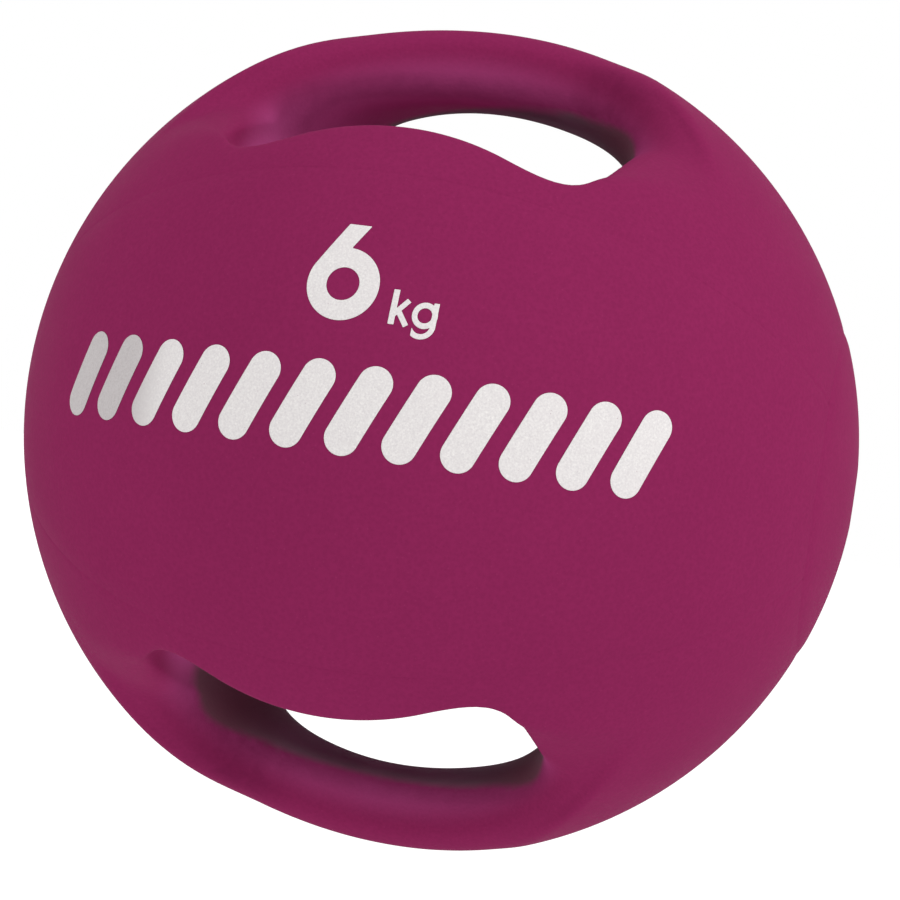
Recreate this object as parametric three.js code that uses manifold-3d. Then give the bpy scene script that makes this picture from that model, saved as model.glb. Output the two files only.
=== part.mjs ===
// Dual-grip medicine ball: a thick-walled hollow rubber ball with two hand openings,
// each closed by a grip bar that lies within the ball's round outline.
//
// The wall is laid up from strips that run from pole to pole along the X axis, so every seam
// lies in a plane through that axis: a smooth panel across the front (-Y) and one across the
// back (+Y), and between them a grip shell at the top (+Z) and one at the bottom (-Z). A round
// cap covers the strips' tips at each pole. Inside are an airtight liner and a needle valve.
//
// Millimetres, +Z up, origin at the ball's centre, printed face towards -Y.

import * as THREE from "three";
import { mergeVertices } from "three/addons/utils/BufferGeometryUtils.js";
import Module from "manifold-3d";

// ---- driving dimensions ----------------------------------------------------------------
const R = 140; // radius of the ball over the grip shells
const PANEL_PROUD = 0.5; // how far the panels and caps stand above the grip shells
const WALL = 18; // thickness of the rubber wall
const SEAM_DEG = 30.4; // seam planes, above and below the equator
const GAP = 0.3; // clearance between neighbouring pieces

const FLOOR_R = 84.8; // radius (about Y) of the floor of a hand opening
const OPENING_HALF = 61; // half the length of a hand opening, along X
const FILLET_R = 15; // inside corner between the floor and an end wall
const GRIP_R = 127; // radius (about Y) of the middle line of a grip bar
const GRIP_HALF_T = 12.7; // half the thickness of a grip bar, along the radius
const GRIP_HALF_W = 17.2; // half the width of a grip bar at its middle, along Y
const GRIP_FLARE = 35; // how much wider each side gets towards the roots
const GRIP_SPAN_DEG = 50; // the bar is carried this far each side of the middle

const CAP_X = 129.5; // the end caps begin at this distance along X
const CAP_T = 5; // thickness of an end cap
const LINER_T = 2; // thickness of the liner

const VALVE_HOLE_R = 7; // hole through the wall for the valve
const INK_GAP = 0.3; // printed patches: height of their underside over the panel
const INK_T = 0.4; // and their thickness

const SEG_ROUND = 48; // facets round the X axis
const SEG_POLE = 24; // facets from pole to pole
const IN_ROUND = 24; // the same for the inside of the wall and the liner
const IN_POLE = 14;

// ---- solids ----------------------------------------------------------------------------
const wasm = await Module();
wasm.setup();

function solid(geometry) {
  const g = geometry.clone();
  g.deleteAttribute("normal");
  g.deleteAttribute("uv");
  const m = mergeVertices(g, 1e-4);
  return new wasm.Manifold(
    new wasm.Mesh({
      numProp: 3,
      vertProperties: new Float32Array(m.attributes.position.array),
      triVerts: new Uint32Array(m.index.array),
    }),
  );
}

function geometryOf(manifold) {
  const mesh = manifold.getMesh();
  const n = mesh.numProp;
  const count = mesh.vertProperties.length / n;
  const position = new Float32Array(count * 3);
  for (let i = 0; i < count; i++)
    for (let k = 0; k < 3; k++) position[i * 3 + k] = mesh.vertProperties[i * n + k];
  const g = new THREE.BufferGeometry();
  g.setAttribute("position", new THREE.BufferAttribute(position, 3));
  g.setIndex(new THREE.BufferAttribute(new Uint32Array(mesh.triVerts), 1));
  const flat = g.toNonIndexed();
  flat.computeVertexNormals();
  return flat;
}

// A sphere whose poles are on X and whose facets straddle the seam planes.
function ball(radius, round = SEG_ROUND, pole = SEG_POLE) {
  const g = new THREE.SphereGeometry(radius, round, pole);
  g.rotateY(Math.PI / round);
  g.rotateZ(-Math.PI / 2);
  return solid(g);
}

// A closed outline in the X-Z plane, carried along Y from y0 to y1.
function prismY(shape, y0, y1, curveSegments = 8) {
  const g = new THREE.ExtrudeGeometry(shape, {
    depth: y1 - y0,
    bevelEnabled: false,
    curveSegments,
  });
  g.rotateX(Math.PI / 2); // shape y becomes Z, depth runs along -Y
  g.translate(0, y1, 0);
  return solid(g);
}

// A closed outline in the Y-Z plane, carried along X over the whole ball.
function prismX(points, x0 = -160, x1 = 160) {
  const g = new THREE.ExtrudeGeometry(new THREE.Shape(points), {
    depth: x1 - x0,
    bevelEnabled: false,
  });
  g.rotateX(Math.PI / 2);
  g.rotateZ(Math.PI / 2);
  g.translate(x0, 0, 0);
  return solid(g);
}

const rotX180 = (m) => m.rotate([180, 0, 0]);

// ---- hand opening ----------------------------------------------------------------------
// Outline of everything above the floor of the upper opening, grown by `by` into the wall.
function openingOutline(by = 0) {
  const floorR = FLOOR_R - by;
  const x = OPENING_HALF + by;
  const fillet = FILLET_R + by;
  const cx = OPENING_HALF - FILLET_R; // centre of the corner's fillet, the same for every `by`
  const cz = Math.sqrt((FLOOR_R + FILLET_R) ** 2 - cx * cx);
  const a = Math.atan2(cx, cz); // where the floor meets the fillet, from +Z
  const s = new THREE.Shape();
  s.moveTo(x, 170);
  s.lineTo(-x, 170);
  s.lineTo(-x, cz);
  s.absarc(-cx, cz, fillet, Math.PI, 1.5 * Math.PI + a, false);
  s.absarc(0, 0, floorR, Math.PI / 2 + a, Math.PI / 2 - a, true);
  s.absarc(cx, cz, fillet, -Math.PI / 2 - a, 0, false);
  s.lineTo(x, 170);
  return s;
}
const openingCut = (by) => prismY(openingOutline(by), -160, 160);

// ---- grip bar --------------------------------------------------------------------------
// A rounded section, first run out straight and then bent round the Y axis, wider at its roots.
function gripBar() {
  const N = 16;
  const power = 3;
  const pts = [];
  for (let i = 0; i < N; i++) {
    const t = (2 * Math.PI * (i + 0.5)) / N;
    const c = Math.cos(t);
    const s = Math.sin(t);
    pts.push(
      new THREE.Vector2(
        GRIP_HALF_T * Math.sign(c) * Math.abs(c) ** (2 / power),
        Math.sign(s) * Math.abs(s) ** (2 / power),
      ),
    );
  }
  const g = new THREE.ExtrudeGeometry(new THREE.Shape(pts), {
    depth: 2,
    steps: 18,
    bevelEnabled: false,
  });
  const p = g.attributes.position;
  for (let i = 0; i < p.count; i++) {
    const u = p.getX(i); // along the radius
    const v = p.getY(i); // across, -1 to 1
    const beta = THREE.MathUtils.degToRad(GRIP_SPAN_DEG) * (p.getZ(i) - 1);
    const t = THREE.MathUtils.smoothstep(Math.abs(beta), 0, 0.92);
    const q = GRIP_R + u;
    p.setXYZ(i, q * Math.sin(beta), v * (GRIP_HALF_W + GRIP_FLARE * t), q * Math.cos(beta));
  }
  const bar = solid(g);
  return bar.volume() < 0 ? flipped(g) : bar;
}

function flipped(g) {
  const f = g.index ? g.toNonIndexed() : g.clone();
  const p = f.attributes.position;
  for (let i = 0; i < p.count; i += 3)
    for (const [a, b] of [[i + 1, i + 2]]) {
      const t = [p.getX(a), p.getY(a), p.getZ(a)];
      p.setXYZ(a, p.getX(b), p.getY(b), p.getZ(b));
      p.setXYZ(b, ...t);
    }
  return solid(f);
}

// ---- seam wedges -----------------------------------------------------------------------
const seam = THREE.MathUtils.degToRad(SEAM_DEG);
const FAR = 400;

// The space of the front panel: within the seam angle of -Y, kept half a gap inside it.
function frontWedge() {
  const d = GAP / 2 / Math.sin(seam);
  return prismX([
    new THREE.Vector2(-d, 0),
    new THREE.Vector2(-d - FAR * Math.cos(seam), FAR * Math.sin(seam)),
    new THREE.Vector2(-d - FAR * Math.cos(seam), -FAR * Math.sin(seam)),
  ]);
}

// The space of the upper grip shell: between the two seam planes above the equator.
function upperWedge() {
  const d = GAP / 2 / Math.cos(seam);
  return prismX([
    new THREE.Vector2(0, d),
    new THREE.Vector2(FAR * Math.cos(seam), d + FAR * Math.sin(seam)),
    new THREE.Vector2(-FAR * Math.cos(seam), d + FAR * Math.sin(seam)),
  ]);
}

// ---- round pieces on the X axis ---------------------------------------------------------
// A profile of [distance from the X axis, x] pairs turned about X.
function turnedX(profile, segments = 24) {
  const g = new THREE.LatheGeometry(
    profile.map(([r, x]) => new THREE.Vector2(r, x)),
    segments,
  );
  g.rotateZ(-Math.PI / 2);
  const s = solid(g);
  return s.volume() < 0 ? flipped(g) : s;
}

const disc = (x0, x1, r, segments) =>
  turnedX([[0, x0], [r, x0], [r, x1], [0, x1]], segments);

// ---- the wall --------------------------------------------------------------------------
const wholeShell = (() => {
  const inside = ball(R - WALL, IN_ROUND, IN_POLE)
    .subtract(openingCut(WALL))
    .subtract(rotX180(openingCut(WALL)));
  const bar = gripBar().intersect(ball(R));
  return ball(R)
    .subtract(openingCut(0))
    .subtract(rotX180(openingCut(0)))
    .add(bar)
    .add(rotX180(bar))
    .subtract(inside);
})();

// Seats under the two end caps, and the valve's hole at the +X pole.
const capSeat = disc(CAP_X, 170, 80, 32).subtract(ball(R - CAP_T - GAP));
const capSeats = capSeat.add(capSeat.rotate([0, 0, 180]));
const valveHole = disc(90, 170, VALVE_HOLE_R, 20);

const upper = wholeShell.intersect(upperWedge()).subtract(capSeats).subtract(valveHole);
const lower = wholeShell.intersect(rotX180(upperWedge())).subtract(capSeats).subtract(valveHole);

const panelStock = ball(R + PANEL_PROUD).subtract(ball(R - WALL, IN_ROUND, IN_POLE));
const front = panelStock.intersect(frontWedge()).subtract(capSeats).subtract(valveHole);
const back = panelStock
  .intersect(frontWedge().rotate([0, 0, 180]))
  .subtract(capSeats)
  .subtract(valveHole);

const cap = ball(R + PANEL_PROUD)
  .subtract(ball(R - CAP_T))
  .intersect(disc(CAP_X + GAP, 170, 80, 32));
const rightCap = cap.subtract(disc(120, 170, VALVE_HOLE_R, 20));
const leftCap = cap.rotate([0, 0, 180]);

// ---- liner and valve -------------------------------------------------------------------
function hollow(by) {
  return ball(R - by, IN_ROUND, IN_POLE)
    .subtract(openingCut(by))
    .subtract(rotX180(openingCut(by)));
}
const liner = hollow(WALL + GAP)
  .subtract(hollow(WALL + GAP + LINER_T))
  .subtract(disc(90, 170, VALVE_HOLE_R - 2, 20));

const linerX = R - WALL - GAP; // the liner's outside at the pole
const valveBody = turnedX(
  [
    [1.9, linerX - LINER_T - GAP - 8],
    [3.4, linerX - LINER_T - GAP - 8],
    [4.2, linerX - LINER_T - GAP - 6],
    [4.2, linerX + 0.6],
    [6.4, linerX + 1.6],
    [6.4, R - 3.5],
    [5.6, R - 0.6],
    [2.8, R - 0.6],
    [1.9, R - 2.2],
    [1.9, linerX - LINER_T - GAP - 8],
  ],
  20,
);
const valveCore = turnedX(
  [
    [0, linerX - LINER_T - GAP - 6.5],
    [1.5, linerX - LINER_T - GAP - 6.5],
    [1.5, R - 4.6],
    [0.7, R - 4],
    [0, R - 4],
  ],
  12,
);

// ---- print -----------------------------------------------------------------------------
// Each patch is its flat outline carried through the ball and kept within a thin shell of
// ink over the front panel. x runs to the right and z up along the surface, in millimetres.
const ink = ball(R + PANEL_PROUD + INK_GAP + INK_T).subtract(ball(R + PANEL_PROUD + INK_GAP));
const patch = (shape, curveSegments) =>
  prismY(shape, -160, -60, curveSegments).intersect(ink);
const flatX = (arc) => R * Math.sin(arc / R);

function roundedBar(cx, cz, halfHeight, halfWidth, slant, squeeze) {
  // a slanted bar with round ends
  const s = new THREE.Shape();
  const lean = Math.atan2(slant, 2 * (halfHeight - halfWidth));
  const dx = slant / 2;
  const dz = halfHeight - halfWidth;
  const n = 6;
  const pts = [];
  for (let i = 0; i <= n; i++) {
    const a = -lean + (Math.PI * i) / n;
    pts.push([dx + halfWidth * Math.cos(a), dz + halfWidth * Math.sin(a)]);
  }
  for (let i = 0; i <= n; i++) {
    const a = Math.PI - lean + (Math.PI * i) / n;
    pts.push([-dx + halfWidth * Math.cos(a), -dz + halfWidth * Math.sin(a)]);
  }
  pts.forEach(([x, z], i) => {
    const px = cx + x * squeeze;
    if (i === 0) s.moveTo(px, cz + z);
    else s.lineTo(px, cz + z);
  });
  s.closePath();
  return s;
}

const BARS = 12;
const BAR_PITCH = 16.1; // along the surface
const BAR_Z = 2.2; // height of the row's middle line
const BAR_HALF_H = 12.8;
const BAR_HALF_W = 4.9;
const BAR_SLANT = 7;

const bars = [];
for (let i = 0; i < BARS; i++) {
  const arc = (i - (BARS - 1) / 2) * BAR_PITCH;
  const squeeze = Math.cos(arc / R);
  bars.push(
    patch(roundedBar(flatX(arc), BAR_Z, BAR_HALF_H, BAR_HALF_W, BAR_SLANT, squeeze), 4),
  );
}

// The weight: a plain numeral built on a ring, and two plain letters, strokes of even width.
function ringShape(cx, cz, rx, rz, stroke) {
  const s = new THREE.Shape();
  s.absellipse(cx, cz, rx, rz, 0, 2 * Math.PI, false, 0);
  const h = new THREE.Path();
  h.absellipse(cx, cz, rx - stroke, rz - stroke, 0, 2 * Math.PI, true, 0);
  s.holes.push(h);
  return s;
}

const outline = (points) => new THREE.Shape(points.map(([x, z]) => new THREE.Vector2(x, z)));

function strokeShape(points, width) {
  // a polyline given width, with square ends
  const left = [];
  const right = [];
  for (let i = 0; i < points.length; i++) {
    const a = points[Math.max(i - 1, 0)];
    const b = points[Math.min(i + 1, points.length - 1)];
    const dx = b[0] - a[0];
    const dz = b[1] - a[1];
    const l = Math.hypot(dx, dz);
    left.push(new THREE.Vector2(points[i][0] - (dz / l) * (width / 2), points[i][1] + (dx / l) * (width / 2)));
    right.push(new THREE.Vector2(points[i][0] + (dz / l) * (width / 2), points[i][1] - (dx / l) * (width / 2)));
  }
  return new THREE.Shape([...left, ...right.reverse()]);
}

const join = (...shapes) =>
  shapes
    .map((s) => prismY(s, -160, -60, 9))
    .reduce((a, b) => a.add(b))
    .intersect(ink);

const NUM = { x: -2.9, z: 36.4 }; // centre of the numeral's ring
const numeral = join(
  ringShape(NUM.x, NUM.z, 10.4, 10.4, 5.7),
  outline([
    [NUM.x - 2.1, NUM.z + 17.3],
    [NUM.x - 9, NUM.z + 5.1],
    [NUM.x - 6.4, NUM.z + 3.4],
    [NUM.x - 2.2, NUM.z + 6.6],
    [NUM.x - 0.1, NUM.z + 9.9],
    [NUM.x + 4.3, NUM.z + 17.3],
  ]),
);

const K = { x: 12.6, z: 31.9 }; // middle of the upright
const letterK = join(
  strokeShape([[K.x, K.z - 4.9], [K.x, K.z + 4.9]], 1.9),
  strokeShape([[K.x + 0.2, K.z - 2.2], [K.x + 3.9, K.z + 2.3]], 1.7),
  strokeShape([[K.x + 1.2, K.z - 0.6], [K.x + 4.2, K.z - 4.9]], 1.8),
);
const G = { x: 21.4, z: 30.6 }; // centre of the bowl
const letterG = join(
  ringShape(G.x, G.z, 3.6, 3.8, 1.7),
  strokeShape(
    [
      [G.x + 2.65, G.z + 3.8],
      [G.x + 2.65, G.z - 3.6],
      [G.x + 2.1, G.z - 5],
      [G.x + 0.8, G.z - 5.9],
      [G.x - 1, G.z - 6],
      [G.x - 2.9, G.z - 5.3],
    ],
    1.7,
  ),
);

// ---- materials -------------------------------------------------------------------------
const rubber = () =>
  new THREE.MeshStandardMaterial({ color: 0x8a2658, roughness: 0.68, metalness: 0 });
const whiteInk = () =>
  new THREE.MeshStandardMaterial({ color: 0xe9e6e4, roughness: 0.5, metalness: 0 });
const blackRubber = () =>
  new THREE.MeshStandardMaterial({ color: 0x1c1b1c, roughness: 0.75, metalness: 0 });

// ---- the assembly ----------------------------------------------------------------------
const group = new THREE.Group();
function piece(name, manifold, material) {
  const mesh = new THREE.Mesh(geometryOf(manifold), material);
  mesh.name = name;
  group.add(mesh);
}

piece("upper_grip_shell", upper, rubber());
piece("lower_grip_shell", lower, rubber());
piece("front_panel", front, rubber());
piece("back_panel", back, rubber());
piece("right_end_cap", rightCap, rubber());
piece("left_end_cap", leftCap, rubber());
piece("inner_liner", liner, blackRubber());
piece("valve_body", valveBody, blackRubber());
piece("valve_core", valveCore, blackRubber());
piece("numeral_6", numeral, whiteInk());
piece("letter_k", letterK, whiteInk());
piece("letter_g", letterG, whiteInk());
bars.forEach((b, i) => piece(`print_bar_${String(i + 1).padStart(2, "0")}`, b, whiteInk()));

export default group;
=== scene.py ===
import math

import bpy
import numpy as np
from mathutils import Matrix, Vector


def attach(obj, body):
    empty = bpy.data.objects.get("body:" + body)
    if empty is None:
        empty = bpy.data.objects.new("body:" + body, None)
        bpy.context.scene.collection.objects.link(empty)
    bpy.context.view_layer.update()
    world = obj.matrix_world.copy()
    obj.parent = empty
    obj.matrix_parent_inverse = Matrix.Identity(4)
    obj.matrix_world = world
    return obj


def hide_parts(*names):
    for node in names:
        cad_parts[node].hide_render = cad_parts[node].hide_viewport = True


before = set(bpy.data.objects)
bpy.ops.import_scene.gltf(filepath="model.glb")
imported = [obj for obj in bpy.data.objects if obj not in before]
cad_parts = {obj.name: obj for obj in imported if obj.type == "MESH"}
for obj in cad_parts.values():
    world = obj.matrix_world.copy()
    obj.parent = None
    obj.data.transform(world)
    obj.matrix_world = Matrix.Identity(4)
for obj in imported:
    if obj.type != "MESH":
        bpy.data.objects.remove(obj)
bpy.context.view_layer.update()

# ---------------------------------------------------------------------------------------
# The ball's shape, in metres, in the row frame. Every visible rubber piece is cut from the
# same set of smooth functions, so the pieces meet exactly at their seams.
# ---------------------------------------------------------------------------------------
R = 0.140            # over the grip shells
PROUD = 0.0005       # panels and caps stand this much higher
WALL = 0.018
ALPHA = math.radians(30.4)   # seam planes above and below the equator
CAP_X = 0.1295

FLOOR = 0.6120 * R       # floor of a hand opening, measured from the Y axis
XE = 0.4394 * R          # half length of a hand opening
XS = 0.0382 * R          # how much its end walls draw in towards the grip
KC = 0.2150 * R          # softness of the corner between the floor and an end wall
KE = 0.0229 * R          # softness of the opening's rim along the floor
KE_END = 0.3212 * R      # and at its two ends, where the grip runs out of the ball
GC = 0.9011 * R          # middle line of a grip bar
GA = 0.0906 * R          # its half thickness
GAT = 0.0039             # which shrinks this much towards +X
GB = 0.1207 * R          # its half width at the middle
GT = 0.0471              # the upper bar narrows this much towards +X, the lower towards -X
GN = 2.879              # its section's exponent
GK = 0.1464 * R          # softness where the bar meets the shell
GFL = 0.2555 * R         # how much wider each side gets at the roots
B1, B2 = math.radians(0.0), math.radians(54.0)

SEAM_DIP = 0.00012   # depth of the seam lines
SEAM_W = 0.0008      # and their half width


def smax(a, b, k):
    h = np.maximum(k - np.abs(a - b), 0.0) / k
    return np.maximum(a, b) + h * h * k * 0.25


def smin(a, b, k):
    return -smax(-a, -b, k)


def trim(f, limit, k):
    """Keeps f inside `limit`; where f only just reaches it, the two meet without a crease."""
    t = np.clip(f - limit, 0, k)
    g = t * t * (2 * k - t) / (k * k)
    return limit + np.where(f - limit > k, f - limit, g)


def ramp(v, a, b):
    t = np.clip((v - a) / (b - a), 0, 1)
    return t * t * (3 - 2 * t)


def seam_profile(s):
    """How far the surface sinks at a distance s from a seam."""
    return SEAM_DIP * np.exp(-((s / SEAM_W) ** 2))


def shell_field(x, y, z):
    """Negative inside the upper grip shell's rubber (the seam planes are cut by the grid)."""
    q = np.sqrt(x * x + z * z)
    r = np.sqrt(q * q + y * y)
    s_seam = np.abs(z * math.cos(ALPHA) - np.abs(y) * math.sin(ALPHA))
    s_cap = np.abs(CAP_X - np.abs(x))
    sp = r - (R - seam_profile(s_seam) - seam_profile(s_cap))
    ax = np.abs(x)
    high = ramp(q, 0.68 * R, 0.88 * R)
    cut = smax(FLOOR - q, ax - (XE - XS * high), KC)
    body = smax(sp, -cut, KE + (KE_END - KE) * high)
    be = np.arctan2(ax, np.maximum(z, 1e-6))
    bw = GB - GT * x + GFL * ramp(be, B1, B2)
    m = ((np.abs(q - GC) / (GA - GAT * x)) ** GN + (np.abs(y) / bw) ** GN) ** (1.0 / GN)
    bar = (m - 1.0) * np.where(m > 1e-6, np.sqrt((q - GC) ** 2 + y * y) / np.maximum(m, 1e-6), GA)
    bar = np.maximum(bar, (be - math.radians(54)) * q)
    f = smin(body, bar, GK)
    f = trim(f, sp, 0.0256 * R)
    inner = np.maximum(r - (R - WALL), -smax(FLOOR - WALL - q, ax - XE - WALL, KC))
    return np.maximum(f, -inner)


# ---------------------------------------------------------------------------------------
# Meshing
# ---------------------------------------------------------------------------------------
def spread(lo, hi, step, fine=0.0004, grow=1.35):
    """Stations from lo to hi, close together at both ends and `step` apart in between."""
    half = (hi - lo) / 2
    d, pts = fine, [0.0]
    while pts[-1] + d < half:
        pts.append(pts[-1] + d)
        d = min(d * grow, step)
    pts = np.array(pts) * (half / (pts[-1] + 0.5 * d))
    return np.concatenate([lo + pts, (hi - pts)[::-1]])


def grid_surface(A, B, C, f):
    """One vertex per cell that the surface f = 0 crosses, and one quad per crossed grid edge.
    A, B, C are the stations of the three grid coordinates."""
    ins = f < 0
    n = np.array(f.shape)
    cell = np.zeros(n - 1, bool)
    al = np.ones(n - 1, bool)
    for i in (0, 1):
        for j in (0, 1):
            for k in (0, 1):
                c = ins[i:n[0] - 1 + i, j:n[1] - 1 + j, k:n[2] - 1 + k]
                cell |= c
                al &= c
    active = cell & ~al
    idx = -np.ones(n - 1, np.int64)
    ijk = np.argwhere(active)
    idx[tuple(ijk.T)] = np.arange(len(ijk))
    acc = np.zeros((len(ijk), 3))
    cnt = np.zeros(len(ijk))
    st = [A, B, C]
    for axis in range(3):
        o1, o2 = [a for a in range(3) if a != axis]
        for u in (0, 1):
            for v in (0, 1):
                p = ijk.copy()
                p[:, o1] += u
                p[:, o2] += v
                p2 = p.copy()
                p2[:, axis] += 1
                fa = f[tuple(p.T)]
                fb = f[tuple(p2.T)]
                hit = (fa < 0) != (fb < 0)
                t = fa / np.where(hit, fa - fb, 1.0)
                pos = np.stack([st[a][p[:, a]] for a in range(3)], 1)
                pos[:, axis] += t * (st[axis][np.minimum(p[:, axis] + 1, len(st[axis]) - 1)] - st[axis][p[:, axis]])
                acc[hit] += pos[hit]
                cnt[hit] += 1
    coords = acc / cnt[:, None]
    quads = []
    for axis in range(3):
        sl_a = [slice(None)] * 3
        sl_b = [slice(None)] * 3
        sl_a[axis] = slice(0, -1)
        sl_b[axis] = slice(1, None)
        fa = ins[tuple(sl_a)]
        fb = ins[tuple(sl_b)]
        e = np.argwhere(fa != fb)
        o1, o2 = (axis + 1) % 3, (axis + 2) % 3
        keep = (e[:, o1] > 0) & (e[:, o2] > 0) & (e[:, o1] < n[o1] - 1) & (e[:, o2] < n[o2] - 1)
        e = e[keep]
        flip = fa[tuple(e.T)]
        c = []
        for du, dv in ((-1, -1), (0, -1), (0, 0), (-1, 0)):
            p = e.copy()
            p[:, o1] += du
            p[:, o2] += dv
            c.append(idx[tuple(p.T)])
        q = np.stack(c, 1)
        q[~flip] = q[~flip][:, ::-1]
        quads.append(q)
    return coords, np.concatenate(quads)


def project(P, field, steps=4, limit=0.0006):
    """Moves points onto field = 0 along the field's slope."""
    e = 1e-5
    start = P.copy()
    for _ in range(steps):
        f0 = field(P[:, 0], P[:, 1], P[:, 2])
        g = np.stack([
            (field(P[:, 0] + e, P[:, 1], P[:, 2]) - field(P[:, 0] - e, P[:, 1], P[:, 2])),
            (field(P[:, 0], P[:, 1] + e, P[:, 2]) - field(P[:, 0], P[:, 1] - e, P[:, 2])),
            (field(P[:, 0], P[:, 1], P[:, 2] + e) - field(P[:, 0], P[:, 1], P[:, 2] - e)),
        ], 1) / (2 * e)
        g2 = np.maximum((g * g).sum(1), 0.05)
        P = P - g * (f0 / g2)[:, None]
        move = P - start
        d = np.linalg.norm(move, axis=1)
        far = d > limit
        P[far] = start[far] + move[far] * (limit / d[far])[:, None]
    return P


def outward(V, F):
    """Turns the faces of a closed piece round if they look inwards."""
    a, b, c = V[F[:, 0]], V[F[:, 1]], V[F[:, 2]]
    vol = np.einsum("ij,ij->i", a, np.cross(b, c)).sum()
    if F.shape[1] == 4:
        d = V[F[:, 3]]
        vol += np.einsum("ij,ij->i", a, np.cross(c, d)).sum()
    return F if vol > 0 else F[:, ::-1]


def make_mesh(name, verts, faces, sharp_deg=40):
    me = bpy.data.meshes.new(name)
    faces = outward(np.asarray(verts, float), np.asarray(faces))
    me.vertices.add(len(verts))
    me.vertices.foreach_set("co", np.asarray(verts, np.float32).ravel())
    n = faces.shape[1]
    me.loops.add(faces.size)
    me.loops.foreach_set("vertex_index", faces.astype(np.int32).ravel())
    me.polygons.add(len(faces))
    me.polygons.foreach_set("loop_start", (np.arange(len(faces)) * n).astype(np.int32))
    me.update(calc_edges=True)
    me.validate()
    me.polygons.foreach_set("use_smooth", np.ones(len(me.polygons), bool))
    me.set_sharp_from_angle(angle=math.radians(sharp_deg))
    ob = bpy.data.objects.new(name, me)
    bpy.context.scene.collection.objects.link(ob)
    return ob


# ---- grip shells ----------------------------------------------------------------------
def grip_shell():
    """The upper shell as points and quads. Its grid follows the ball: x along the axis, phi
    round it, and s out from it, where the greatest s lies on the sphere for every x."""
    step = 0.0023
    top = R + 0.00006
    xs = spread(-CAP_X, CAP_X, step)
    ph = spread(ALPHA * 0.140, (math.pi - ALPHA) * 0.140, step) / 0.140
    d, depth = 0.0003, [0.0]
    while depth[-1] < 0.110:
        depth.append(depth[-1] + d)
        d = min(d * 1.25, step)
    ss = np.sort(top - np.array(depth))
    ss = np.concatenate([ss, [top + 0.0003]])
    over = 0.0002
    xs = np.concatenate([[xs[0] - over], xs, [xs[-1] + over]])
    ph = np.concatenate([[ph[0] - over / 0.14], ph, [ph[-1] + over / 0.14]])
    X, PH, S = np.meshgrid(xs, ph, ss, indexing="ij")
    RH = S * np.sqrt(top * top - np.minimum(np.abs(X), CAP_X) ** 2) / top
    f = shell_field(X, RH * np.cos(PH), RH * np.sin(PH))
    f = np.clip(f, -0.004, 0.004)
    # the seam planes, the planes under the caps and the narrow middle close the piece
    f[0] = f[-1] = over * 0.5
    f[:, 0] = f[:, -1] = over * 0.5
    f[:, :, 0] = 0.001
    f[:, :, -1] = 0.0003
    coords, quads = grid_surface(xs, ph, ss, f)
    x, p, s = coords.T
    r = s * np.sqrt(top * top - np.minimum(np.abs(x), CAP_X) ** 2) / top
    P = np.stack([x, r * np.cos(p), r * np.sin(p)], 1)
    edge = (
        (x < -CAP_X + 0.00025) | (x > CAP_X - 0.00025)
        | (p < ALPHA + 0.0018) | (p > math.pi - ALPHA - 0.0018)
        | (s < ss[1])
    )
    P[~edge] = project(P[~edge], shell_field)
    return P, quads


def slope(P, field, e=2e-5):
    g = np.stack([
        field(P[:, 0] + e, P[:, 1], P[:, 2]) - field(P[:, 0] - e, P[:, 1], P[:, 2]),
        field(P[:, 0], P[:, 1] + e, P[:, 2]) - field(P[:, 0], P[:, 1] - e, P[:, 2]),
        field(P[:, 0], P[:, 1], P[:, 2] + e) - field(P[:, 0], P[:, 1], P[:, 2] - e)], 1)
    return g / np.maximum(np.linalg.norm(g, axis=1), 1e-12)[:, None]


def inward(P):
    """How squarely the surface faces the Y axis: 1 on the inside of a grip, -1 on its outside."""
    n = slope(P, shell_field)
    return -(n[:, 0] * P[:, 0] + n[:, 2] * P[:, 2]) / np.maximum(np.hypot(P[:, 0], P[:, 2]), 1e-6)


P_up, Q_up = grip_shell()
upper = make_mesh("upper_grip_rubber", P_up, Q_up)
P_lo = P_up * np.array([-1.0, 1.0, -1.0])      # the same moulding, turned about the Y axis
lower = make_mesh("lower_grip_rubber", P_lo, Q_up)
face = inward(P_up)
qx, qy, qq = P_up[:, 0] / R, -P_up[:, 1] / R, np.hypot(P_up[:, 0], P_up[:, 2]) / R
below = np.linalg.norm(P_up, axis=1) < R - 0.002
# painted shade on the inside of the grip, reaching round a little further at its two roots
limit = 0.85 - 0.40 * ramp(np.abs(qx), 0.27, 0.43)
painted_inner_shade = ramp(face, limit - 0.16, limit + 0.12) * ramp(qq, 0.66, 0.76) * (1 - ramp(qy, 0.27, 0.41)) * below
# how far a point lies below the ball's round outline: the openings are painted paler there, a painted fill light
# against their shade
hollow = ramp(R - np.linalg.norm(P_up, axis=1), 0.008, 0.024)
# the upper grip is painted with shade over the far half of its inside only, and more so towards +X
root = ramp(np.abs(qx), 0.20, 0.38)      # towards either root, where the painted shade is darkest
painted_inner_shade_up = painted_inner_shade * ramp(0.40 * qx + 0.13 * ramp(qx, 0.16, 0.34) - qy, -0.070, 0.008)
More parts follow.
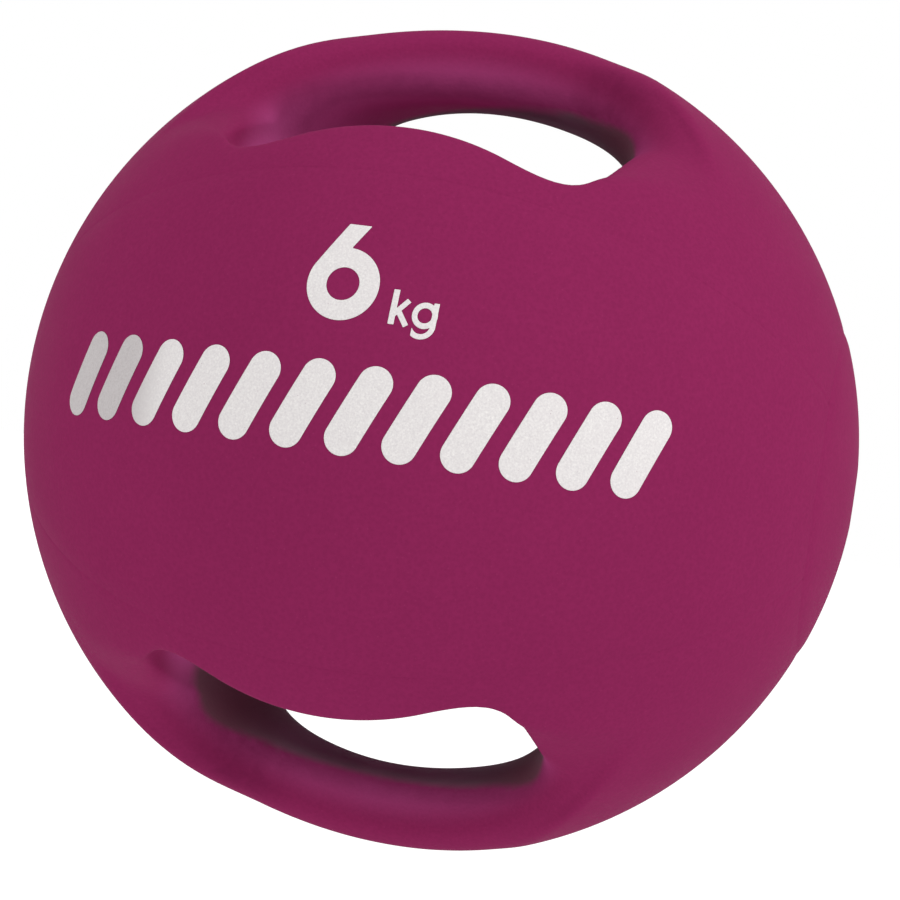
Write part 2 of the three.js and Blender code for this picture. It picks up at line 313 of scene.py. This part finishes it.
# painted shade: the grips are coloured darker round their inner edge, and most beside the root that lies
# towards +X of the moulding
painted_grip_shade = (np.exp(-(((qx - 0.34) / 0.12) ** 2)) * ramp(qy, 0.06, 0.17) * (1 - ramp(qy, 0.36, 0.48))
        * ramp(qq, 0.72, 0.79) * (1 - ramp(qq, 0.94, 0.99)))
edge = ramp(face, -0.05, 0.45) * (1 - ramp(face, 0.85, 0.98)) * ramp(qq, 0.74, 0.80) * below
painted_grip_shade = 1 - (1 - painted_grip_shade) * (1 - 0.6 * edge)
for ob, v in ((upper, painted_inner_shade_up), (lower, painted_inner_shade)):
    ob.data.attributes.new("inside", "FLOAT", "POINT").data.foreach_set("value", v.astype(np.float32))
    ob.data.attributes.new("hollow", "FLOAT", "POINT").data.foreach_set("value", hollow.astype(np.float32))
    ob.data.attributes.new("painted_grip_shade", "FLOAT", "POINT").data.foreach_set("value", painted_grip_shade.astype(np.float32))
    ob.data.attributes.new("root", "FLOAT", "POINT").data.foreach_set("value", root.astype(np.float32))
print("grip shell: %d points, %d quads" % (len(P_up), len(Q_up)))


# ---- front and back panels, end caps ----------------------------------------------------
def closed_patch(outer, inner):
    """Two grids of the same size joined round their edges into one closed piece."""
    a, b = outer.shape[:2]
    V = np.concatenate([outer.reshape(-1, 3), inner.reshape(-1, 3)])
    I = np.arange(a * b).reshape(a, b)
    J = I + a * b
    F = [np.stack([I[:-1, :-1], I[1:, :-1], I[1:, 1:], I[:-1, 1:]], -1).reshape(-1, 4),
         np.stack([J[:-1, :-1], J[:-1, 1:], J[1:, 1:], J[1:, :-1]], -1).reshape(-1, 4)]
    for e, g in ((I[0, :], J[0, :]), (I[-1, ::-1], J[-1, ::-1]), (I[::-1, 0], J[::-1, 0]), (I[:, -1], J[:, -1])):
        F.append(np.stack([e[:-1], e[1:], g[1:], g[:-1]], 1))
    return V, np.concatenate(F)


def belly(sign):
    """The panel across the front (sign -1) or the back (+1)."""
    step = 0.0016
    xs = spread(-CAP_X, CAP_X, step)
    th = spread(-ALPHA * 0.14, ALPHA * 0.14, step) / 0.14
    X, T = np.meshgrid(xs, th, indexing="ij")
    rad = np.sqrt(R * R - X * X)
    s_seam = rad * np.sin(ALPHA - np.abs(T))
    s_cap = CAP_X - np.abs(X)
    rise = PROUD * (1 - np.exp(-((s_seam / 0.0036) ** 2))) * (1 - ramp(np.abs(X), 0.085, 0.122))
    rr = R + rise - seam_profile(s_seam) - seam_profile(s_cap)
    rho = np.sqrt(rr * rr - X * X)
    outer = np.stack([X, sign * rho * np.cos(T), rho * np.sin(T)], -1)
    k = (R - WALL) / R
    rin = np.sqrt(np.maximum((R - WALL) ** 2 - np.minimum(np.abs(X), 0.118) ** 2, 1e-6))
    inner = np.stack([X, sign * rin * np.cos(T), rin * np.sin(T)], -1)
    V, F = closed_patch(outer, inner)
    if sign > 0:
        F = F[:, ::-1]
    return V, F[:, ::-1]


def end_cap(sign):
    """The round cap over a pole, on rings round the X axis. Its middle is left open for the valve."""
    n = 240
    a_out = math.acos((CAP_X - 0.00012) / R)
    hole = 0.0070
    a_in = math.asin(hole / R) if sign > 0 else 0.0
    ang = spread(0, (a_out - a_in) * R, 0.0016, fine=0.0004)[::-1] / R + a_in
    ang = np.sort(ang)
    if sign < 0:
        ang[0] = 0.0
    phi = np.linspace(0, 2 * math.pi, n, endpoint=False)
    A, P = np.meshgrid(ang, phi, indexing="ij")
    s = (a_out - A) * R
    rr = R + 0.00045 * (1 - np.exp(-((s / 0.0030) ** 2))) - seam_profile(s)
    if sign > 0:
        rr = rr - 0.0006 * np.exp(-(((A - a_in) * R / 0.0012) ** 2))
    ro = np.stack([sign * rr * np.cos(A), rr * np.sin(A) * np.cos(P), rr * np.sin(A) * np.sin(P)], -1)
    ri = np.full_like(rr, R - 0.005)
    rn = np.stack([sign * ri * np.cos(A), ri * np.sin(A) * np.cos(P), ri * np.sin(A) * np.sin(P)], -1)
    a = len(ang)
    rings_o = list(ro)
    rings_i = list(rn)
    V, F, base = [], [], 0
    if sign > 0:
        V = np.concatenate([ro.reshape(-1, 3), rn.reshape(-1, 3)])
        I = np.arange(a * n).reshape(a, n)
        J = I + a * n
        I2, J2 = np.roll(I, -1, 1), np.roll(J, -1, 1)
        F = [np.stack([I[:-1], I[1:], I2[1:], I2[:-1]], -1).reshape(-1, 4),
             np.stack([J[:-1], J2[:-1], J2[1:], J[1:]], -1).reshape(-1, 4),
             np.stack([I[0], I2[0], J2[0], J[0]], -1),
             np.stack([I[-1], J[-1], J2[-1], I2[-1]], -1)]
        F = np.concatenate(F)
        return V, F
    # closed middle: a small square-free fan made of quads from pairs of segments
    ro, rn = ro[1:], rn[1:]
    a -= 1
    V = np.concatenate([ro.reshape(-1, 3), rn.reshape(-1, 3),
                        [[sign * (R + PROUD), 0, 0], [sign * (R - 0.005), 0, 0]]])
    I = np.arange(a * n).reshape(a, n)
    J = I + a * n
    I2, J2 = np.roll(I, -1, 1), np.roll(J, -1, 1)
    co, ci = 2 * a * n, 2 * a * n + 1
    F = [np.stack([I[:-1], I[1:], I2[1:], I2[:-1]], -1).reshape(-1, 4),
         np.stack([J[:-1], J2[:-1], J2[1:], J[1:]], -1).reshape(-1, 4),
         np.stack([I[-1], J[-1], J2[-1], I2[-1]], -1)]
    e = np.arange(0, n, 2)
    F.append(np.stack([np.full(len(e), co), I[0][e], I[0][(e + 1) % n], I[0][(e + 2) % n]], -1))
    F.append(np.stack([np.full(len(e), ci), J[0][(e + 2) % n], J[0][(e + 1) % n], J[0][e]], -1))
    F = np.concatenate(F)
    return V, F[:, ::-1]


front = make_mesh("front_panel_rubber", *belly(-1))
back = make_mesh("back_panel_rubber", *belly(1))
cap_r = make_mesh("right_end_cap_rubber", *end_cap(1))
cap_l = make_mesh("left_end_cap_rubber", *end_cap(-1))

# ---- print ------------------------------------------------------------------------------
# Each shape is a signed distance on the X-Z plane in millimetres, negative inside. It is
# meshed with its own thin, round-edged section and laid on the front panel.
INK_LO, INK_HI = 0.00002, 0.00016


def d_segment(x, z, a, b, half):
    """A stroke with round ends."""
    ax, az = a
    dx, dz = b[0] - ax, b[1] - az
    t = np.clip(((x - ax) * dx + (z - az) * dz) / (dx * dx + dz * dz), 0, 1)
    return np.hypot(x - ax - t * dx, z - az - t * dz) - half


def d_stroke(x, z, a, b, half):
    """A stroke with square ends."""
    dx, dz = b[0] - a[0], b[1] - a[1]
    ln = math.hypot(dx, dz)
    ux, uz = dx / ln, dz / ln
    px, pz = x - (a[0] + b[0]) / 2, z - (a[1] + b[1]) / 2
    along = np.abs(px * ux + pz * uz) - ln / 2
    across = np.abs(-px * uz + pz * ux) - half
    return np.minimum(np.maximum(along, across), 0) + np.hypot(np.maximum(along, 0), np.maximum(across, 0))


def d_ring(x, z, cx, cz, rx, rz, stroke):
    """A ring of even stroke; rx and rz differ very little."""
    k = rx / rz
    return np.abs(np.hypot(x - cx, (z - cz) * k) - (rx - stroke / 2)) - stroke / 2


def d_polygon(x, z, pts):
    d = np.full(x.shape, 1e9)
    inside = np.zeros(x.shape, bool)
    for (x0, z0), (x1, z1) in zip(pts, pts[1:] + pts[:1]):
        ex, ez = x1 - x0, z1 - z0
        t = np.clip(((x - x0) * ex + (z - z0) * ez) / (ex * ex + ez * ez), 0, 1)
        d = np.minimum(d, np.hypot(x - x0 - t * ex, z - z0 - t * ez))
        up = (z0 <= z) != (z1 <= z)
        cross = x < x0 + (z - z0) * ex / (ez if ez != 0 else 1e-9)
        inside ^= up & cross
    return np.where(inside, -d, d)


NUM = (-2.9, 36.4)
K = (12.6, 31.9)
G = (21.4, 30.6)


def numeral(x, z):
    cx, cz = NUM
    ring = d_ring(x, z, cx, cz, 10.35, 10.35, 5.65)
    stem = d_polygon(x, z, [(cx - 2.1, cz + 17.3), (cx - 9.0, cz + 5.1), (cx - 6.4, cz + 3.4),
                            (cx - 2.2, cz + 6.6), (cx - 0.1, cz + 9.9), (cx + 4.3, cz + 17.3)])
    return np.minimum(ring, stem)


def letter_k(x, z):
    cx, cz = K
    return np.minimum(np.minimum(
        d_stroke(x, z, (cx, cz - 4.9), (cx, cz + 4.9), 0.84),
        d_stroke(x, z, (cx + 0.2, cz - 2.2), (cx + 3.9, cz + 2.3), 0.72)),
        d_stroke(x, z, (cx + 1.2, cz - 0.6), (cx + 4.2, cz - 4.9), 0.76))


def letter_g(x, z):
    cx, cz = G
    d = d_ring(x, z, cx, cz, 3.5, 3.7, 1.5)
    d = np.minimum(d, d_stroke(x, z, (cx + 2.65, cz + 3.8), (cx + 2.65, cz - 3.4), 0.74))
    # the hook: part of a ring below the bowl
    hx, hz, hr = cx - 0.55, cz - 2.75, 3.2
    hook = np.abs(np.hypot(x - hx, z - hz) - hr) - 0.74
    hook = np.maximum(hook, z - (cz - 3.1))
    hook = np.maximum(hook, -(x - (hx - 2.35)))
    return np.minimum(d, hook)


def bar(i):
    arc = (i - 5.5) * 16.1
    cx, cz = 140 * math.sin(arc / 140), 2.2
    sq = math.cos(arc / 140)

    def f(x, z):
        # measured along the surface, so the bars at the ends keep their width
        return d_segment((x - cx) / sq, z - cz, (-3.5, -7.9), (3.5, 7.9), 4.9) * (0.5 + 0.5 * sq)

    return f, cx, cz


def print_patch(name, f, x0, x1, z0, z1, g=0.3):
    g = g
    th = (INK_HI - INK_LO) * 1e3
    mid = (INK_HI + INK_LO) * 0.5e3
    xs = np.arange(x0 - 2 * g, x1 + 2 * g, g)
    zs = np.arange(z0 - 2 * g, z1 + 2 * g, g)
    hs = mid + np.array([-1.2, -0.4, 0.4, 1.2]) * th * 0.5
    # three numbers in the same unit: x, height (stretched so the thin section meshes well), z
    k = g / (th * 0.4)

    def field(x, y, z):
        d = f(x, z)
        h = np.abs(y - mid * k) - th * 0.5 * k
        return smax(d, h, 0.9 * g)

    X, Y, Z = np.meshgrid(xs, hs * k, zs, indexing="ij")
    co, quads = grid_surface(xs, hs * k, zs, field(X, Y, Z))
    x, y, z = co.T
    e = 1e-3
    # outline points slide onto the outline itself
    for _ in range(3):
        d = f(x, z)
        near = (d > -0.75 * g)
        gx = (f(x + e, z) - f(x - e, z)) / (2 * e)
        gz = (f(x, z + e) - f(x, z - e)) / (2 * e)
        g2 = np.maximum(gx * gx + gz * gz, 0.2)
        goal = np.where(np.abs(y - mid * k) > th * 0.25 * k, -0.12, 0.0)
        s = np.where(near, d - goal, 0.0)
        s = np.clip(s, -0.3 * g, 0.3 * g)
        x = x - gx / g2 * s
        z = z - gz / g2 * s
    h = np.clip(y / k, mid - th / 2, mid + th / 2) * 1e-3
    x, z = x * 1e-3, z * 1e-3
    rs = R + PROUD
    P = np.stack([x, -np.sqrt(rs * rs - x * x - z * z), z], 1)
    P *= ((rs + h) / rs)[:, None]
    return make_mesh(name, P, quads, 60)


prints = {}
prints["numeral_6"] = print_patch("numeral_6_ink", numeral, -13.4, 7.6, 26, 53.8)
prints["letter_k"] = print_patch("letter_k_ink", letter_k, 11.4, 18.0, 26.2, 37.3, 0.16)
prints["letter_g"] = print_patch("letter_g_ink", letter_g, 17.63, 25.13, 23.24, 34.64, 0.16)
for i in range(12):
    f, cx, cz = bar(i)
    prints["print_bar_%02d" % (i + 1)] = print_patch("print_bar_%02d_ink" % (i + 1), f, cx - 8.6, cx + 8.6, -10.8, 15.2)

# ---- valve ------------------------------------------------------------------------------
def turned(name, profile, n=96):
    """A closed profile of (radius, x) points turned round the X axis."""
    pr = np.array(profile)
    ph = np.linspace(0, 2 * math.pi, n, endpoint=False)
    m = len(pr)
    V = np.stack([np.repeat(pr[:, 1], n), np.outer(pr[:, 0], np.cos(ph)).ravel(), np.outer(pr[:, 0], np.sin(ph)).ravel()], 1)
    I = np.arange(m * n).reshape(m, n)
    J = np.roll(I, -1, 0)
    I2, J2 = np.roll(I, -1, 1), np.roll(J, -1, 1)
    F = np.stack([I, J, J2, I2], -1).reshape(-1, 4)
    area = 0.5 * np.sum(pr[:, 0] * np.roll(pr[:, 1], -1) - np.roll(pr[:, 0], -1) * pr[:, 1])
    if area < 0:
        F = F[:, ::-1]
    return make_mesh(name, V, F, 50)


def arc_pts(cr, cx, rad, a0, a1, n=7):
    return [(cr + rad * math.cos(math.radians(a)), cx + rad * math.sin(math.radians(a))) for a in np.linspace(a0, a1, n)]


mm = 0.001
top = R - 0.7 * mm
rim = [(1.25 * mm, 0.1136), (3.4 * mm, 0.1136), (4.2 * mm, 0.1156), (4.2 * mm, 0.1218), (6.3 * mm, 0.1228), (6.3 * mm, R - 2.6 * mm)]
rim += arc_pts(6.3 * mm - 0.9 * mm, top - 0.9 * mm, 0.9 * mm, 0, 90)
rim += [(4.7 * mm, top)] + arc_pts(3.9 * mm, top - 0.15 * mm, 0.35 * mm, 25, -60, 4)
rim += [(3.2 * mm, top - 0.55 * mm), (2.4 * mm, top - 0.5 * mm)]
rim += arc_pts(2.1 * mm, top - 0.75 * mm, 0.3 * mm, 60, 180, 5)
rim += [(1.5 * mm, top - 1.9 * mm), (1.25 * mm, top - 2.6 * mm)]
valve = turned("valve_plug", rim)
core = turned("valve_needle_slit", [(0.28 * mm, 0.1131), (1.05 * mm, 0.1131), (1.05 * mm, top - 2.0 * mm), (0.8 * mm, top - 1.75 * mm), (0.4 * mm, top - 1.95 * mm), (0.28 * mm, top - 2.4 * mm)], 48)

# ---------------------------------------------------------------------------------------
# Materials
# ---------------------------------------------------------------------------------------
def srgb(h):
    c = [int(h[i:i + 2], 16) / 255 for i in (0, 2, 4)]
    return tuple(x / 12.92 if x <= 0.04045 else ((x + 0.055) / 1.055) ** 2.4 for x in c)


class Mat:
    """A small helper round one node tree."""

    def __init__(self, name):
        self.m = bpy.data.materials.new(name)
        self.m.use_nodes = True
        self.t = self.m.node_tree
        self.bsdf = self.t.nodes["Principled BSDF"]
        self.co = self.add("ShaderNodeTexCoord").outputs["Object"]

    def add(self, kind, **props):
        n = self.t.nodes.new(kind)
        for k, v in props.items():
            setattr(n, k, v)
        return n

    def link(self, a, b):
        self.t.links.new(a, b)

    def noise(self, scale, detail=2.0, rough=0.5, dist=0.0):
        n = self.add("ShaderNodeTexNoise")
        n.inputs["Scale"].default_value = scale
        n.inputs["Detail"].default_value = detail
        n.inputs["Roughness"].default_value = rough
        n.inputs["Distortion"].default_value = dist
        self.link(self.co, n.inputs["Vector"])
        return n.outputs["Fac"]

    def voronoi(self, scale, feature="F1", rand=1.0, out="Distance"):
        n = self.add("ShaderNodeTexVoronoi", feature=feature)
        n.inputs["Scale"].default_value = scale
        n.inputs["Randomness"].default_value = rand
        self.link(self.co, n.inputs["Vector"])
        return n.outputs[out]

    def remap(self, v, a, b, c, d, smooth=False):
        n = self.add("ShaderNodeMapRange", interpolation_type="SMOOTHSTEP" if smooth else "LINEAR")
        for i, x in zip((1, 2, 3, 4), (a, b, c, d)):
            n.inputs[i].default_value = x
        self.link(v, n.inputs[0])
        return n.outputs[0]

    def math(self, op, a, b=None):
        n = self.add("ShaderNodeMath", operation=op)
        for i, v in enumerate((a, b)):
            if v is None:
                continue
            if isinstance(v, (int, float)):
                n.inputs[i].default_value = v
            else:
                self.link(v, n.inputs[i])
        return n.outputs[0]

    def mix(self, fac, a, b, blend="MIX"):
        n = self.add("ShaderNodeMix", data_type="RGBA", blend_type=blend)
        for i, v in ((0, fac), (6, a), (7, b)):
            if isinstance(v, (int, float)):
                n.inputs[i].default_value = v
            elif isinstance(v, tuple):
                n.inputs[i].default_value = (*v, 1)
            else:
                self.link(v, n.inputs[i])
        return n.outputs[2]

    def attribute(self, name):
        return self.add("ShaderNodeAttribute", attribute_name=name).outputs["Fac"]

    def bump(self, height, distance, strength=1.0, normal=None):
        n = self.add("ShaderNodeBump")
        n.inputs["Distance"].default_value = distance
        n.inputs["Strength"].default_value = strength
        self.link(height, n.inputs["Height"])
        if normal is not None:
            self.link(normal, n.inputs["Normal"])
        return n.outputs["Normal"]


def rubber(name, base, deep, pale, inner):
    """Moulded rubber with a fine leather grain. `deep` fills the grain and is also the painted shade
    on the grips, `pale` is painted fill light that makes the openings paler (mesh attribute
    "hollow"), and `inner` the painted near-black shade on the inside of the grips (attribute "inside")."""
    m = Mat(name)
    grain = m.voronoi(900, "SMOOTH_F1")
    fine = m.noise(2400, 3, 0.6)
    broad = m.noise(38, 3, 0.55, 0.3)
    cloud = m.noise(9, 2, 0.5)
    height = m.math("ADD", m.math("MULTIPLY", grain, 0.7), m.math("MULTIPLY", fine, 0.6))
    lo = tuple(c * 0.965 for c in base)
    hi = tuple(min(1, c * 1.035) for c in base)
    col = m.mix(m.remap(cloud, 0.3, 0.7, 0, 1), lo, hi)
    col = m.mix(m.remap(broad, 0.35, 0.7, 0.0, 0.16), col, tuple(c * 0.86 for c in base))
    col = m.mix(m.remap(height, 0.35, 0.8, 0.20, 0.0), col, deep)
    speck = m.voronoi(420, "F1", 1.0)
    col = m.mix(m.remap(speck, 0.05, 0.13, 0.16, 0.0), col, tuple(min(1, c * 1.5 + 0.02) for c in base))
    # painted fill light: the rubber is made paler where it lies deep in the openings
    painted_fill_light = m.math("MULTIPLY", m.attribute("hollow"), m.remap(broad, 0.3, 0.7, 0.85, 1.0))
    col = m.mix(painted_fill_light, col, pale)
    # painted shade on the grips' inner edge and beside their +X root, in the grain's fill colour
    painted_grip_shade_mix = m.math("MULTIPLY", m.attribute("painted_grip_shade"), m.remap(m.noise(150, 4, 0.65, 0.4), 0.3, 0.7, 0.45, 0.72))
    col = m.mix(painted_grip_shade_mix, col, deep)
    # painted shade: the inside of the grips is coloured near-black, darker towards the roots
    painted_inner_shade = m.attribute("inside")
    edge = m.math("ADD", painted_inner_shade, m.remap(m.noise(260, 3, 0.6), 0.0, 1.0, -0.10, 0.10))
    mask = m.remap(edge, 0.08, 0.92, 0.0, 1.0)
    inside = m.mix(m.remap(broad, 0.3, 0.7, 0.0, 1.0), inner, tuple(c * 1.35 for c in inner))
    inside = m.mix(m.attribute("root"), inside, tuple(c * f for c, f in zip(inner, (0.80, 0.42, 0.52))))
    col = m.mix(mask, col, inside)
    m.link(col, m.bsdf.inputs["Base Color"])
    rough = m.math("ADD", m.remap(fine, 0.3, 0.7, 0.55, 0.72), m.remap(broad, 0.3, 0.7, -0.03, 0.04))
    m.link(rough, m.bsdf.inputs["Roughness"])
    m.bsdf.inputs["Specular IOR Level"].default_value = 0.008
    n1 = m.bump(broad, 0.00030, 0.5)
    m.link(m.bump(height, 0.00011, 0.8, n1), m.bsdf.inputs["Normal"])
    return m.m


def ink(name):
    m = Mat(name)
    grit = m.noise(1900, 3, 0.65)
    cell = m.voronoi(1250, "F1")
    spot = m.voronoi(520, "F1")
    broad = m.noise(70, 3, 0.6, 0.4)
    col = m.mix(m.remap(grit, 0.32, 0.68, 0, 1), srgb("CBC7C7"), srgb("DFDCDA"))
    col = m.mix(m.remap(cell, 0.30, 0.62, 0.0, 0.22), col, srgb("BDB7BA"))
    col = m.mix(m.remap(broad, 0.35, 0.7, 0.0, 0.25), col, srgb("CCC6C7"))
    # painted shade: the ink is greyer over the last few centimetres towards -X, the side away from the key light
    side = m.add("ShaderNodeSeparateXYZ")
    m.link(m.co, side.inputs[0])
    painted_ink_shade = m.remap(side.outputs[0], -0.066, -0.050, 1.0, 0.0, True)
    col = m.mix(m.math("MULTIPLY", painted_ink_shade, m.remap(grit, 0.3, 0.7, 0.45, 0.85)), col, srgb("9F9899"))
    # a few pinholes where the rubber's colour shows through the film
    pin = m.math("MULTIPLY", m.remap(spot, 0.05, 0.10, 1.0, 0.0), m.remap(broad, 0.45, 0.62, 0.0, 0.55))
    col = m.mix(pin, col, srgb("8A5A72"))
    m.link(col, m.bsdf.inputs["Base Color"])
    m.link(m.remap(grit, 0.3, 0.7, 0.34, 0.62), m.bsdf.inputs["Roughness"])
    m.bsdf.inputs["Specular IOR Level"].default_value = 0.12
    n1 = m.bump(cell, 0.00006, 0.6)
    m.link(m.bump(grit, 0.00009, 0.7, n1), m.bsdf.inputs["Normal"])
    return m.m


def black_rubber(name, base, dust):
    m = Mat(name)
    fine = m.noise(2600, 3, 0.6)
    cell = m.voronoi(1500, "SMOOTH_F1")
    broad = m.noise(120, 3, 0.6, 0.3)
    col = m.mix(m.remap(broad, 0.4, 0.72, 0.0, 0.5), base, dust)
    col = m.mix(m.remap(fine, 0.35, 0.7, 0.25, 0.0), col, tuple(c * 0.5 for c in base))
    m.link(col, m.bsdf.inputs["Base Color"])
    m.link(m.remap(fine, 0.3, 0.7, 0.42, 0.66), m.bsdf.inputs["Roughness"])
    m.bsdf.inputs["Specular IOR Level"].default_value = 0.4
    m.link(m.bump(m.math("ADD", fine, cell), 0.00005, 0.6), m.bsdf.inputs["Normal"])
    return m.m


# the second colour fills the grain and is also the painted shade on the grips; the fourth is painted fill light for the
# openings, the fifth the painted near-black shade inside the grips
burgundy = rubber("burgundy_rubber", srgb("80224F"), srgb("5C1538"), (0.37, 0.060, 0.200), (0.135, 0.100, 0.115))
white = ink("white_ink")
black = black_rubber("valve_black_rubber", srgb("1B1A1B"), srgb("3A3638"))
liner_black = black_rubber("liner_black_rubber", srgb("201E1F"), srgb("33302F"))

for ob in (upper, lower, front, back, cap_r, cap_l):
    ob.data.materials.append(burgundy)
for ob in prints.values():
    ob.data.materials.append(white)
for ob in (valve, core):
    ob.data.materials.append(black)
for name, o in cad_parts.items():
    for i in range(len(o.material_slots)):
        if name in prints:
            o.material_slots[i].material = white
        elif name == "inner_liner":
            o.material_slots[i].material = liner_black
        elif name in ("valve_body", "valve_core"):
            o.material_slots[i].material = black
        else:
            o.material_slots[i].material = burgundy

for ob, node in ((upper, "upper_grip_shell"), (lower, "lower_grip_shell"), (front, "front_panel"),
                 (back, "back_panel"), (cap_r, "right_end_cap"), (cap_l, "left_end_cap")):
    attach(ob, "root")
    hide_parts(node)
for node, ob in prints.items():
    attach(ob, "root")
    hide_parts(node)
for ob, node in ((valve, "valve_body"), (core, "valve_core")):
    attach(ob, "root")
    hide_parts(node)

# ---------------------------------------------------------------------------------------
# Stage, camera and light
# ---------------------------------------------------------------------------------------
fm = bpy.data.meshes.new("floor")
s = 6.0
fm.from_pydata([(-s, -s, 0), (s, -s, 0), (s, s, 0), (-s, s, 0)], [], [(0, 1, 2, 3)])
floor = bpy.data.objects.new("floor", fm)
bpy.context.scene.collection.objects.link(floor)
floor.location = (0, 0, -0.1411)
flo = Mat("pale_floor")
flo.link(flo.mix(flo.noise(3, 2), (0.055, 0.055, 0.055), (0.065, 0.065, 0.065)), flo.bsdf.inputs["Base Color"])
flo.bsdf.inputs["Roughness"].default_value = 0.9
flo.bsdf.inputs["Specular IOR Level"].default_value = 0.0
flo.bsdf.inputs["Emission Color"].default_value = (1, 1, 1, 1)
flo.bsdf.inputs["Emission Strength"].default_value = 1.12
fm.materials.append(flo.m)

D, PHI, EPS, ROLL = 4.741, 12.831, -0.656, 8.560   # distance in ball radii, and the view's angles
CX, CY, RPX = 440.71, 437.55, 417.05         # the ball's circle in the 900 x 900 frame
p, e, r = map(math.radians, (PHI, EPS, ROLL))
C = D * R * Vector((math.sin(p) * math.cos(e), -math.cos(p) * math.cos(e), math.sin(e)))
fwd = -C.normalized()
right = fwd.cross(Vector((0, 0, 1))).normalized()
up = right.cross(fwd)
ir = math.cos(r) * right + math.sin(r) * up
iu = -math.sin(r) * right + math.cos(r) * up
cam_data = bpy.data.cameras.new("camera")
cam = bpy.data.objects.new("camera", cam_data)
bpy.context.scene.collection.objects.link(cam)
rot = Matrix((ir, iu, -fwd)).transposed()
cam.matrix_world = Matrix.Translation(C) @ rot.to_4x4()
f_px = RPX * math.sqrt(D * D - 1)
cam_data.sensor_width = 36
cam_data.sensor_fit = "HORIZONTAL"
cam_data.lens = f_px * 36 / 900
cam_data.shift_x = (450 - CX) / 900
cam_data.shift_y = (CY - 450) / 900
cam_data.clip_start = 0.01
cam_data.clip_end = 50
bpy.context.scene.camera = cam
bpy.context.scene.view_settings.view_transform = "Standard"
bpy.context.scene.view_settings.look = "None"


def area(name, loc, target, size, power, color=(1, 1, 1)):
    d = bpy.data.lights.new(name, "AREA")
    d.shape = "DISK"
    d.size = size
    d.energy = power
    d.color = color
    o = bpy.data.objects.new(name, d)
    bpy.context.scene.collection.objects.link(o)
    o.location = loc
    o.rotation_euler = (Vector(target) - Vector(loc)).to_track_quat("-Z", "Y").to_euler()
    return o


key = area("key_light", ir * 1.02 + iu * 0.51 - fwd * 0.58, (0, 0, 0), 0.8, 4.8)
top_light = area("top_light", iu * 1.20 - ir * 0.20 - fwd * 0.45, (0, 0, 0), 0.9, 2.0)

world = bpy.data.worlds.new("world")
bpy.context.scene.world = world
world.use_nodes = True
bg = world.node_tree.nodes["Background"]
bg.inputs[0].default_value = (1, 1, 1, 1)
bg.inputs[1].default_value = 1.0
